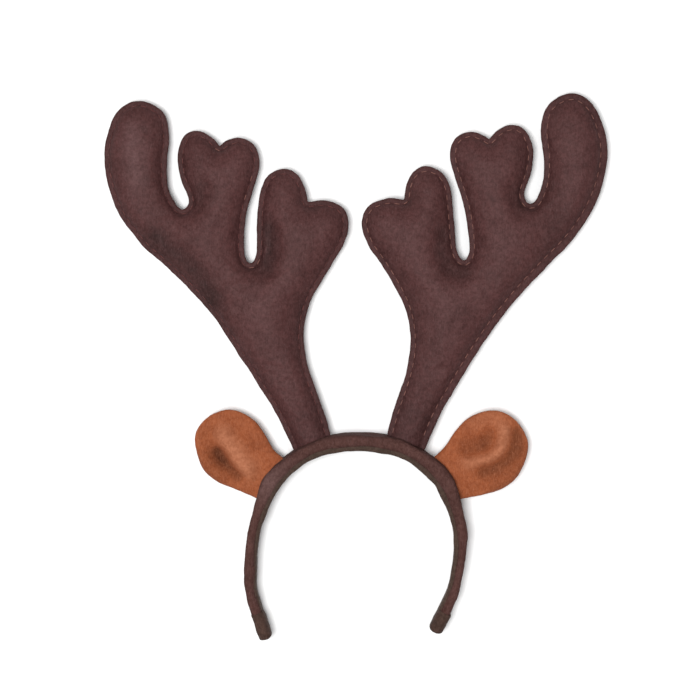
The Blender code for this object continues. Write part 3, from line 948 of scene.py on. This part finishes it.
ANTLERS = {
    "antler_left": Antler(
        side=-1, along=0.209, lean_out=math.radians(1.4), size=0.988, outer_margin=0.0031,
        nudges=(
            Nudge(0.700, 0.860, 0.024, 0.0017, 0.0),
            Nudge(0.755, 0.644, 0.016, 0.0018, 0.0),
            Nudge(0.460, 0.440, 0.022, -0.0021, 0.0010),
            Nudge(0.565, 0.760, 0.012, 0.0012, 0.0),
            Nudge(0.440, 0.905, 0.014, 0.0009, -0.0004),
            Nudge(0.345, 0.868, 0.009, 0.0008, -0.0014),
            Nudge(0.240, 0.885, 0.014, 0.0013, -0.0014),
            Nudge(0.238, 0.650, 0.016, 0.0009, 0.0),
            Nudge(-0.134, 0.551, 0.012, -0.0005, 0.0),
        ),
        dents=(
            Dent(
                0.0072, 0.0016, 0.95,
                ((0.625, 0.607), (0.567, 0.570), (0.508, 0.540), (0.450, 0.485), (0.400, 0.420)),
            ),
            Dent(0.0060, 0.0024, 0.90, ((0.150, 0.625), (0.145, 0.573), (0.165, 0.505))),
            Dent(0.0060, 0.0012, 0.45, ((0.430, 0.749), (0.440, 0.705))),
            Dent(0.0080, 0.0008, 0.30, ((0.070, 0.330), (0.040, 0.400))),
            # No dents: a painted highlight down the middle of the fifth tine, and painted shade over the
            # foot where it meets the arch
            Dent(0.0055, 0.0, -0.55, ((0.711, 0.919), (0.699, 0.854), (0.688, 0.776))),
            Dent(0.0130, 0.0, 0.35, ((0.010, 0.000), (-0.012, 0.075))),
        ),
        mended=((0.251, 0.508), (0.208, 0.514), (0.226, 0.777), (0.262, 0.720), (0.365, 0.856)),
    ),
    "antler_right": Antler(
        side=1, along=0.225, lean_out=0.0, size=1.0, outer_margin=0.0050,
        nudges=(
            Nudge(-0.170, 0.600, 0.014, -0.0017, 0.0),
            Nudge(-0.100, 0.520, 0.010, -0.0007, 0.0),
            Nudge(0.005, 0.360, 0.020, -0.0012, 0.0),
            Nudge(0.090, 0.780, 0.018, -0.0016, -0.0007),
            Nudge(0.200, 0.660, 0.009, -0.0006, 0.0),
            Nudge(0.206, 0.570, 0.009, -0.0006, 0.0),
            Nudge(0.268, 0.889, 0.012, -0.0010, -0.0006),
            Nudge(0.350, 0.870, 0.009, 0.0, -0.0006),
            Nudge(0.436, 0.909, 0.014, -0.0012, -0.0007),
            Nudge(0.790, 0.950, 0.016, -0.0007, -0.0008),
            Nudge(0.655, 0.565, 0.024, 0.0010, 0.0),
        ),
        dents=(
            Dent(0.0056, 0.0018, 0.70, ((0.145, 0.600), (0.140, 0.537), (0.185, 0.490), (0.235, 0.482))),
            Dent(0.0055, 0.0012, 0.50, ((0.440, 0.711), (0.460, 0.665))),
            Dent(0.0080, 0.0008, 0.30, ((0.620, 0.640), (0.540, 0.560))),
            Dent(0.0080, 0.0006, 0.25, ((0.090, 0.080), (0.110, 0.160))),
            # No dent: painted shade over the foot where it meets the arch
            Dent(0.0130, 0.0, 0.45, ((0.000, 0.000), (0.020, 0.075))),
        ),
        mended=(),
    ),
}

ANTLER_FELT = felt(
    "antler_felt",
    FeltColours((0.081, 0.029, 0.028), (0.128, 0.063, 0.063), (0.038, 0.014, 0.013), (0.50, 0.42, 0.40)),
    roughness=0.6,
    sheen=0.05,
    sheen_colour=(0.62, 0.45, 0.47),
    nap=0.00050,
)
WADDING = felt(
    "wadding",
    FeltColours((0.8, 0.79, 0.76), (0.9, 0.89, 0.87), (0.5, 0.48, 0.44), (0.8, 0.8, 0.78)),
    roughness=1.0,
    sheen=0.2,
    sheen_colour=(1.0, 1.0, 1.0),
    nap=0.0008,
)
# How the felt's outer face lies beside its raw edge, at each depth in: rounded off at the cut, flat,
# drawn down by the stitches, and rising again
EDGE_DEPTHS = (0.0, *ROW_DEPTHS[:-1])
EDGE_RISES = (-0.00085, -0.00050, -0.00028, -0.00012, 0.0, 0.0)
LAID_LIFT = 0.9
DENT_FADE = 0.005
# How far in the felt counts as domed, how strong the highlight painted over the dome is, and how strong the
# shade painted down to the edge is
HIGHLIGHT_FROM = 0.0095
DOME_HIGHLIGHT = 0.22
EDGE_SHADE = 0.36
# How far in the seam runs round an antler: at shares of its outline's length, 0 as usual to 1 for its
# outer margin
SEAM_COURSE = ((0.0, 0.60, 0.68, 0.80, 0.97, 1.0), (0.0, 0.0, 0.55, 1.0, 0.8, 0.4))


class Panel:
    """One antler's flat pattern set in place, and the heights of its felt."""

    def __init__(self, antler):
        along = antler.along * ARCH_SPAN
        base = foot_line(antler.side, along, ANTLER_FOOT, ROW_DEPTHS, FELT_STEP)
        self.middle = arch.outer(antler.side * along)
        turn_x, turn_y = math.cos(antler.lean_out), math.sin(antler.lean_out)

        def place(across, up):
            width, height = ANTLER_WIDTH * antler.size, ANTLER_HEIGHT * antler.size
            x, y = nudged((across, up), width, height, antler.nudges)
            return self.middle + np.array([antler.side * (x * turn_x + y * turn_y), y * turn_x - x * turn_y])

        edge = outline(ANTLER_OUTLINE, base[-1], base[0], place, FELT_STEP)
        course = np.interp(np.linspace(0, 1, len(edge)), *SEAM_COURSE)
        margins = SEAM_MARGIN + (antler.outer_margin - SEAM_MARGIN) * course
        self.pattern = Pattern(edge, base, ROW_DEPTHS, FELT_STEP, margins)
        self.dents = [
            (dent, smooth_line([place(*spot) for spot in dent.line], FELT_STEP)) for dent in antler.dents
        ]
        self.mended = [place(*spot) for spot in antler.mended]
        flat = self.pattern.points
        self.seam = CROWN_DEPTH / 2 - math.tan(LEAN_BACK) * (flat[:, 1] - self.middle[1])
        lift = ANTLER_BULGE * self.pattern.swell(SEAM_MARGIN, ANTLER_FULLNESS)
        shape = FELT_THICK + CLEARANCE / 2 + np.interp(self.pattern.depth, EDGE_DEPTHS, EDGE_RISES)
        self.front = self.seam + shape + LAID_LIFT * lift
        self.back = np.maximum(self.seam - shape - LAID_LIFT * lift, 0.0)

    def fill_out(self):
        """Lets the wadding's pressure shape the two faces between the seams."""
        points, faces, _ = slab_mesh(self.pattern.points, self.pattern.triangles, self.back, self.front)
        held = (self.pattern.depth < 1.05 * SEAM_MARGIN) | self.pattern.at_foot
        points = blown(points, faces, np.tile(held, 2))
        count = len(self.pattern.points)
        self.front = points[:count, 2]
        self.back = np.maximum(points[count:, 2], 0.0)

    def press_dents(self):
        """Lets the front down where the wadding is thin, but never at the seam, and gives the shade painted
        along the dents.
        """
        free = np.clip((self.pattern.depth - SEAM_MARGIN) / DENT_FADE, 0, 1)
        shade = np.zeros(len(free))
        for dent, line in self.dents:
            near = np.exp(-((distance_to(self.pattern.points, line) / dent.reach) ** 2))
            self.front -= free * dent.depth * near
            shade += near * dent.shade
        return shade

    def stitches(self, start):
        """The two ends of each stitch along the seam, from this far along it."""
        line = self.pattern.rows[SEAM_MARGIN][1:-1]
        place = lengths_along(line)
        starts = np.arange(start, place[-1] - STITCH_PITCH, STITCH_PITCH)
        return [
            np.column_stack([np.interp((at, at + STITCH_LENGTH), place, column) for column in line.T])
            for at in starts
        ]


def draw_in(piece, stitches, up):
    """Pulls the felt down a little round the middle of each stitch."""
    points, _ = read_mesh(piece.data)
    for ends in stitches:
        near = np.abs(points[:, :2] - ends.mean(0)).max(1) < 0.005
        away = distance_to(points[near, :2], ends)
        points[near, 2] -= up * STITCH_DIMPLE * np.exp(-((away / DIMPLE_REACH) ** 2))
    piece.data.vertices.foreach_set("co", points.ravel())
    piece.data.update()


STITCH_PITCH = 0.0062
STITCH_LENGTH = 0.0039
STITCH_DIMPLE = 0.00016
DIMPLE_REACH = 0.0012
# Each face's direction, and how far along the seam its first stitch starts
FACES = {"front": (1, STITCH_PITCH * 0.25), "back": (-1, STITCH_PITCH * 0.75)}
panels = {}
surfaces = {}
for name, antler in ANTLERS.items():
    panel = Panel(antler)
    panel.fill_out()
    dents = panel.press_dents()
    panels[name] = panel
    pattern = panel.pattern
    # Shade is painted on the felt down to its edge and in the dents, and a highlight is painted where it
    # stands proud
    domed = 1 - np.exp(-((pattern.depth / HIGHLIGHT_FROM) ** 2))
    nap = EDGE_SHADE * (1 - domed) - DOME_HIGHLIGHT * domed
    for face, high in (("front", panel.front), ("back", panel.back + FELT_THICK)):
        low = high - FELT_THICK
        if face == "front":
            low = np.maximum(low, panel.seam + CLEARANCE / 2)
        else:
            high = np.minimum(high, panel.seam - CLEARANCE / 2)
        points, faces, used = slab_mesh(pattern.points, pattern.triangles, low, high)
        tint = np.tile((nap + dents * (face == "front"))[used], 2)
        felt_panel = add_piece(f"{name}_{face}_felt", points, faces, ANTLER_FELT, tint)
        soften(felt_panel, (Unevenness(0.012, 0.0004, 8), Unevenness(0.0035, 0.00022, 9)))
        up, shift = FACES[face]
        draw_in(felt_panel, panel.stitches(shift), up)
        surfaces[name, face] = BVHTree.FromPolygons(*map(np.ndarray.tolist, read_mesh(felt_panel.data)))
        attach(felt_panel, "root")
        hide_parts(f"{name}_{face}")
    low = panel.back + FELT_THICK + CLEARANCE
    high = panel.front - FELT_THICK - CLEARANCE
    points, faces, used = slab_mesh(pattern.points, pattern.deeper_than(STUFFING_MARGIN), low, high)
    wadding = add_piece(f"{name}_wadding", points, faces, WADDING)
    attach(wadding, "root")
    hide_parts(f"{name}_stuffing")


# The stitches. One row of running stitches goes round each antler a little inside the raw edge, and
# shows on both faces: a light tan thread on one face and a dark red-brown one on the other.
THREAD_RADIUS = 0.00024
THREAD_SIDES = 8
THREAD_RINGS = 9


def thread(name, colour, shade):
    """Matt sewing thread, with the twist of its plies."""
    finish = Finish(name, 0.75, 0.2, (1.0, 0.9, 0.8))
    plies = finish.grain(0.0005, detail=2.0, stretch=(1.0, 1.0, 0.4))
    patches = finish.grain(0.009, detail=1.0)
    lit = plies.between(0.3, 0.7) * 0.6 + patches.between(0.4, 0.6) * 0.4
    finish.set("Base Color", finish.mixed(lit, shade, colour))
    finish.raise_by(plies, 0.0002)
    return finish.material


TAN_THREAD = thread("tan_thread", (0.235, 0.105, 0.084), (0.125, 0.052, 0.044))
DARK_THREAD = thread("dark_thread", (0.145, 0.045, 0.042), (0.060, 0.020, 0.019))


def stitch(ends, surface, up):
    """One stitch's points: a short thread that comes out of the felt, runs along and goes back in."""
    start, end = ends
    ahead = (end - start) / np.linalg.norm(end - start)
    left = np.array([-ahead[1], ahead[0]])
    rings = []
    for share in np.linspace(0, 1, THREAD_RINGS):
        near_end = abs(2 * share - 1)
        radius = THREAD_RADIUS * (1 - 0.6 * near_end**6)
        centre = start + (end - start) * share
        above = Vector((*centre, CROWN_DEPTH / 2 + up * 0.1))
        height = surface.ray_cast(above, Vector((0, 0, -up)))[0].z
        height += up * THREAD_RADIUS * (0.55 - 2.4 * near_end**5)
        for turn in np.linspace(0, 2 * math.pi, THREAD_SIDES, endpoint=False):
            flat = centre + left * radius * math.cos(turn)
            rings.append((*flat, height + up * radius * math.sin(turn)))
    return rings


for name, panel in panels.items():
    for face, (up, shift) in FACES.items():
        rows = {TAN_THREAD: [], DARK_THREAD: []}
        usual = TAN_THREAD if (name == "antler_right") == (face == "front") else DARK_THREAD
        stitches = panel.stitches(shift)
        middles = np.array([ends.mean(0) for ends in stitches])
        mended = {int(np.argmin(np.linalg.norm(middles - spot, axis=1))) for spot in panel.mended}
        for number, ends in enumerate(stitches):
            rows[TAN_THREAD if number in mended and face == "front" else usual].append(ends)
        for finish, found in rows.items():
            if found:
                points = [point for ends in found for point in stitch(ends, surfaces[name, face], up)]
                count = THREAD_RINGS * THREAD_SIDES
                faces = [
                    tuple(first * count + i for i in ring)
                    for first in range(len(found))
                    for ring in loft_faces(THREAD_RINGS, THREAD_SIDES)
                ]
                row = add_piece(f"{name}_{face}_{finish.name}", np.array(points), faces, finish)
                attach(row, "root")


# The ears. Each is two pieces of orange-tan felt sewn right sides together, turned and lightly
# padded, so its edge is a soft roll. The foot is set in the arch's cover, and the ear has crumpled.
EAR_LENGTH = 0.0549
EAR_WIDTH = 0.0476
EAR_FOOT = 0.0285
EAR_RIM = 0.0028
EAR_EDGE_SHARE = 0.12
EAR_BULGE = 0.0026
EAR_FULLNESS = 0.0100
EAR_STIFF_LENGTH = 0.0137
EAR_STEP = 0.0016
EAR_DEPTHS = (0.0004, 0.0009, 0.0016, 0.0026)

# An ear's outline from the upper end of its foot round to the lower end: along the foot in shares of
# its width, and away from the arch in shares of its length
EAR_OUTLINE = {
    "upper edge": Stretch(False, ((0.355, 0.127), (0.433, 0.275), (0.505, 0.440))),
    "tip": Stretch(
        False,
        ((0.520, 0.555), (0.500, 0.700), (0.447, 0.810), (0.350, 0.900), (0.200, 0.975), (-0.013, 1.000)),
    ),
    "lower edge": Stretch(
        False,
        (
            (-0.170, 0.958), (-0.335, 0.815), (-0.433, 0.676), (-0.467, 0.532), (-0.455, 0.393),
            (-0.395, 0.190),
        ),
    ),
}


class Fold(NamedTuple):
    """A soft fold in an ear: its line, half its breadth and how far it rises, as shares of the length.

    Its shade is painted on: from 1 for painted shade to -1 for a painted highlight.
    """

    breadth: float
    rise: float
    shade: float
    line: tuple


class Ear(NamedTuple):
    """Where an ear sits along the arch, in shares of the span, its turn upwards, its size and its shape."""

    side: int
    along: float
    turn: float
    size: float
    nudges: tuple
    folds: tuple


EARS = {
    "ear_left": Ear(
        side=-1, along=0.463, turn=math.radians(3.0), size=0.965,
        nudges=(
            Nudge(0.10, 0.80, 0.034, 0.0, 0.0016),
            Nudge(-0.42, 0.20, 0.014, 0.0003, 0.0),
            Nudge(0.45, 0.32, 0.014, -0.0007, 0.0),
        ),
        folds=(
            Fold(
                0.105, -0.055, 0.35,
                ((0.040, 0.880), (-0.034, 0.845), (-0.081, 0.757), (-0.142, 0.645), (-0.180, 0.547)),
            ),
            Fold(
                0.062, -0.070, 0.95,
                ((-0.142, 0.645), (-0.180, 0.547), (-0.199, 0.446), (-0.218, 0.345), (-0.234, 0.275)),
            ),
            Fold(0.135, 0.060, -0.80, ((0.100, 0.720), (0.030, 0.540), (-0.040, 0.400), (-0.080, 0.270))),
            Fold(0.070, 0.040, 0.25, ((-0.290, 0.777), (-0.361, 0.615), (-0.393, 0.447))),
            Fold(0.100, -0.025, 0.15, ((0.380, 0.730), (0.340, 0.520), (0.300, 0.300))),
        ),
    ),
    "ear_right": Ear(
        side=1, along=0.474, turn=math.radians(-3.5), size=1.012,
        nudges=(
            Nudge(0.47, 0.62, 0.028, 0.0016, 0.0),
            Nudge(0.30, 0.93, 0.014, 0.0008, 0.0008),
            Nudge(-0.42, 0.60, 0.020, -0.0003, 0.0),
        ),
        folds=(
            Fold(0.130, -0.060, 0.25, ((0.240, 0.400), (0.190, 0.520))),
            # No fold here: only a painted highlight over the upper part of the ear
            Fold(0.150, 0.0, -0.30, ((0.420, 0.560), (0.360, 0.800))),
            Fold(
                0.085, -0.050, 0.50,
                ((0.200, 0.670), (0.140, 0.610), (0.104, 0.530), (0.106, 0.443), (0.130, 0.340)),
            ),
            Fold(
                0.095, 0.046, -0.80,
                ((0.150, 0.800), (0.080, 0.742), (-0.010, 0.665),
                 (-0.040, 0.528), (0.010, 0.400), (0.060, 0.300)),
            ),
            Fold(
                0.085, -0.060, 0.75,
                ((0.050, 0.930), (-0.040, 0.884), (-0.130, 0.800),
                 (-0.190, 0.650), (-0.190, 0.520), (-0.170, 0.400)),
            ),
            Fold(0.060, 0.035, 0.25, ((-0.200, 0.900), (-0.340, 0.740), (-0.400, 0.560), (-0.400, 0.400))),
        ),
    ),
}

EAR_FELT = felt(
    "ear_felt",
    FeltColours((0.31, 0.086, 0.032), (0.43, 0.17, 0.092), (0.095, 0.026, 0.009), (0.66, 0.56, 0.48)),
    roughness=0.8,
    sheen=0.06,
    sheen_colour=(0.9, 0.7, 0.6),
    nap=0.00035,
)


for name, ear in EARS.items():
    along = ear.along * ARCH_SPAN
    base = foot_line(ear.side, along, EAR_FOOT, EAR_DEPTHS, EAR_STEP)
    middle = arch.outer(ear.side * along)
    outward = arch.outward(ear.side * along)
    upward = np.array([-outward[1], outward[0]]) * ear.side
    turn_x, turn_y = math.cos(ear.turn), math.sin(ear.turn)

    def place(across, out):
        x, y = nudged((across, out), EAR_WIDTH * ear.size, EAR_LENGTH * ear.size, ear.nudges)
        return middle + upward * (x * turn_x + y * turn_y) + outward * (y * turn_x - x * turn_y)

    edge = outline(EAR_OUTLINE, base[-1], base[0], place, EAR_STEP)
    pattern = Pattern(edge, base, EAR_DEPTHS, EAR_STEP)
    flat = pattern.points
    rounded = np.sqrt(1 - (1 - np.clip(pattern.depth / (EAR_RIM / 2), 0, 1)) ** 2)
    half = EAR_RIM / 2 * np.maximum(rounded, EAR_EDGE_SHARE)
    half += EAR_BULGE * pattern.swell(EAR_RIM / 2, EAR_FULLNESS)
    centre = np.full(len(flat), CROWN_DEPTH / 2)
    loose = np.minimum(distance_to(flat, base) / EAR_STIFF_LENGTH, 1.0)
    shade = np.zeros(len(flat))
    for fold in ear.folds:
        line = smooth_line([place(*spot) for spot in fold.line], EAR_STEP)
        near = np.exp(-((distance_to(flat, line) / (fold.breadth * EAR_LENGTH)) ** 2))
        centre += loose * near * fold.rise * EAR_LENGTH
        # Painted shade and painted highlight along the fold
        shade += near * fold.shade
    points, faces, used = slab_mesh(flat, pattern.triangles, centre - half, centre + half)
    shade = np.concatenate([shade[used], np.zeros(len(used))])
    piece = add_piece(f"{name}_felt", points, faces, EAR_FELT, shade)
    soften(piece, (Unevenness(0.012, 0.0003, 10), Unevenness(0.003, 0.00015, 11)))
    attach(piece, "root")
    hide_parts(name)


# The floor, the light and the camera. The headband lies on a plain pale floor under broad soft light,
# seen from above and tilted slightly towards the antlers.
PHOTO_WIDTH = 0.4445
CAMERA_DISTANCE = 1.1
CAMERA_TILT = math.radians(3.4)
SENSOR_WIDTH = 36.0
SKY_LIGHT = 0.36
FLOOR_HALF = 3
FLOOR_BELOW = 0.0002

floor_mesh = bpy.data.meshes.new("floor")
corners = [(x * FLOOR_HALF, y * FLOOR_HALF, 0) for x, y in ((-1, -1), (1, -1), (1, 1), (-1, 1))]
floor_mesh.from_pydata(corners, [], [(0, 1, 2, 3)])
floor = bpy.data.objects.new("floor", floor_mesh)
floor.location = (0.0, 0.0, -FLOOR_BELOW)
bpy.context.collection.objects.link(floor)
paper = Finish("paper", 0.9, 0.0, (1.0, 1.0, 1.0))
paper.set("Base Color", paper.mixed(paper.grain(0.05), (0.93, 0.93, 0.93), (0.95, 0.95, 0.95)))
floor_mesh.materials.append(paper.material)


class Lamp(NamedTuple):
    """A square soft light: where it hangs, its side and its power."""

    spot: tuple
    side: float
    power: float


aim = Vector((-0.0044, 0.0571, CROWN_DEPTH / 2))
LAMPS = {
    "key": Lamp((-0.24, 0.02, 1.45), 0.5, 21.0),
    "fill": Lamp((0.50, 0.70, 1.30), 1.2, 3.0),
}
for name, lamp in LAMPS.items():
    light = bpy.data.lights.new(name, "AREA")
    light.shape = "SQUARE"
    light.size = lamp.side
    light.energy = lamp.power
    hung = bpy.data.objects.new(name, light)
    hung.location = lamp.spot
    hung.rotation_euler = (aim - Vector(lamp.spot)).to_track_quat("-Z", "Y").to_euler()
    bpy.context.collection.objects.link(hung)

sky = bpy.data.worlds.new("studio")
sky.use_nodes = True
sky.node_tree.nodes["Background"].inputs["Color"].default_value = (1.0, 1.0, 1.0, 1.0)
sky.node_tree.nodes["Background"].inputs["Strength"].default_value = SKY_LIGHT
bpy.context.scene.world = sky
bpy.context.scene.view_settings.view_transform = "Standard"

camera = bpy.data.objects.new("camera", bpy.data.cameras.new("camera"))
camera.data.sensor_width = SENSOR_WIDTH
camera.data.lens = SENSOR_WIDTH * CAMERA_DISTANCE / PHOTO_WIDTH
camera.location = aim + CAMERA_DISTANCE * Vector((0.0, math.sin(CAMERA_TILT), math.cos(CAMERA_TILT)))
camera.rotation_euler = (-CAMERA_TILT, 0.0, 0.0)
camera.data.clip_start = 0.1
camera.data.clip_end = 10.0
bpy.context.collection.objects.link(camera)
bpy.context.scene.camera = camera
